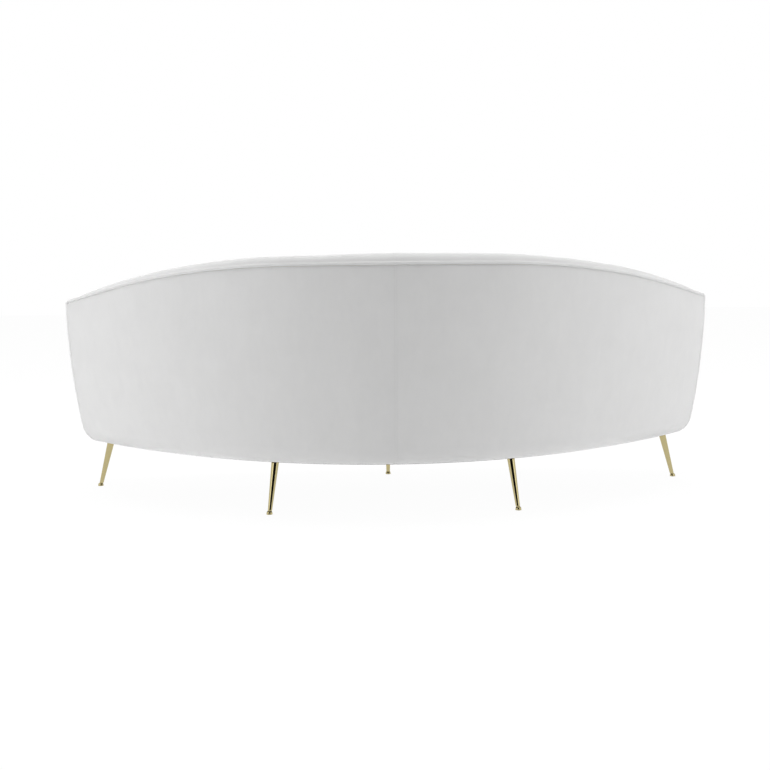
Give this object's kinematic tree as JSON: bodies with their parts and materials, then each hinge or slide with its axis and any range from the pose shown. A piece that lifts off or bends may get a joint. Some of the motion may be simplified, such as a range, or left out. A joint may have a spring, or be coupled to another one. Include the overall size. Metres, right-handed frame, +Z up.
{
  "type": "curved sofa",
  "caption": "Curved upholstered sofa with a bent back shell tapering into arms, a crescent seat and splayed metal legs.",
  "frame": {"origin": "on the floor, in the middle of the sofa's overall width and depth", "axes": "+X towards the sitter's left end, -Y the way the seat faces, +Z up"},
  "size_m": [2.2794, 0.9424, 0.8255],
  "materials": {
    "fabric": "soft short-pile woven, pale neutral grey",
    "lining": "thin non-woven cloth, black",
    "foam": "open-cell foam, cream",
    "wadding": "loose fibre wadding, off-white",
    "timber": "unfinished sawn softwood and bent ply",
    "webbing": "woven strap, brown",
    "brass": "polished, mirror bright",
    "steel": "zinc plated, satin"
  },
  "bodies": {
    "root": {"outside_back_cover_left": "fabric", "outside_back_cover_right": "fabric", "outside_back_padding": "wadding", "outside_back_panel": "timber", "inside_back_cover_left": "fabric", "inside_back_cover_right": "fabric", "inside_back_foam": "foam", "back_support_cloth": "webbing", "back_edge_welt": "fabric", "back_top_rail": "timber", "back_base_rail": "timber", "back_rib_far_right": "timber", "back_rib_right": "timber", "back_rib_near_right": "timber", "back_rib_middle": "timber", "back_rib_near_left": "timber", "back_rib_left": "timber", "back_rib_far_left": "timber", "arm_post_left": "timber", "arm_facing_left": "fabric", "arm_post_right": "timber", "arm_facing_right": "fabric", "seat_cover": "fabric", "seat_foam": "foam", "seat_border_cover": "fabric", "seat_border_padding": "wadding", "seat_front_rail": "timber", "seat_rear_rail": "timber", "seat_welt": "fabric", "seat_cross_rail_outer_right": "timber", "seat_cross_rail_inner_right": "timber", "seat_cross_rail_inner_left": "timber", "seat_cross_rail_outer_left": "timber", "seat_webbing": "webbing", "seat_deck_cloth": "lining", "rear_left_leg_plate": "steel", "rear_left_leg": "brass", "rear_left_foot": "brass", "rear_left_leg_block": "timber", "rear_right_leg_plate": "steel", "rear_right_leg": "brass", "rear_right_foot": "brass", "rear_right_leg_block": "timber", "end_left_leg_plate": "steel", "end_left_leg": "brass", "end_left_foot": "brass", "end_left_leg_block": "timber", "end_right_leg_plate": "steel", "end_right_leg": "brass", "end_right_foot": "brass", "end_right_leg_block": "timber", "front_leg_plate": "steel", "front_leg": "brass", "front_foot": "brass", "front_leg_block": "timber", "dust_cover": "lining"}
  },
  "joints": []
}
